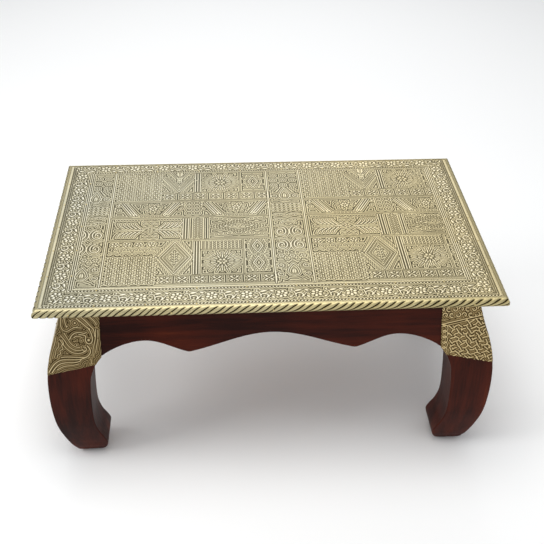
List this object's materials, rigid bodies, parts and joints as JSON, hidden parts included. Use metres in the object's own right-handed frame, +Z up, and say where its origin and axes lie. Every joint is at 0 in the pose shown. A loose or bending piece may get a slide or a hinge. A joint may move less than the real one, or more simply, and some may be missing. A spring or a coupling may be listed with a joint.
{
  "type": "low brass-topped table",
  "caption": "Low rectangular wooden table on curved square legs, with scalloped aprons, an embossed brass top, rope-moulded brass edge and brass leg caps.",
  "frame": {"origin": "on the floor, under the middle of the top", "axes": "+X along the length, +Y to the back, +Z up"},
  "size_m": [0.9, 0.58, 0.4],
  "materials": {
    "dark_wood": "semi-gloss dark reddish brown lacquer over open grain",
    "bare_wood": "planed, unfinished",
    "top_brass": "embossed sheet, rubbed bright on the raised work and dark in the ground",
    "edge_brass": "embossed rope moulding, pale and polished with dark grooves",
    "cap_brass": "embossed sheet, darker antique patina",
    "steel": "plain zinc-plated screw"
  },
  "bodies": {
    "root": {"plank_1": "bare_wood", "plank_2": "bare_wood", "plank_3": "bare_wood", "plank_4": "bare_wood", "batten_left": "bare_wood", "batten_right": "bare_wood", "block_front_left": "bare_wood", "block_front_right": "bare_wood", "block_back_left": "bare_wood", "block_back_right": "bare_wood", "block_left": "bare_wood", "block_right": "bare_wood", "lipping_front": "bare_wood", "lipping_back": "bare_wood", "lipping_left": "bare_wood", "lipping_right": "bare_wood", "rope_front": "edge_brass", "rope_back": "edge_brass", "rope_left": "edge_brass", "rope_right": "edge_brass", "field_sheet": "top_brass", "border_front_strip": "top_brass", "border_back_strip": "top_brass", "border_left_strip": "top_brass", "border_right_strip": "top_brass", "leg_front_left": "dark_wood", "leg_front_right": "dark_wood", "leg_back_left": "dark_wood", "leg_back_right": "dark_wood", "cap_front_left": "cap_brass", "cap_front_right": "cap_brass", "cap_back_left": "cap_brass", "cap_back_right": "cap_brass", "apron_front": "dark_wood", "apron_back": "dark_wood", "apron_left": "dark_wood", "apron_right": "dark_wood", "tenon_pegs": "bare_wood", "batten_screws": "steel", "block_screws": "steel", "border_pins": "edge_brass", "rope_pins": "edge_brass", "cap_pins": "cap_brass"}
  },
  "joints": []
}
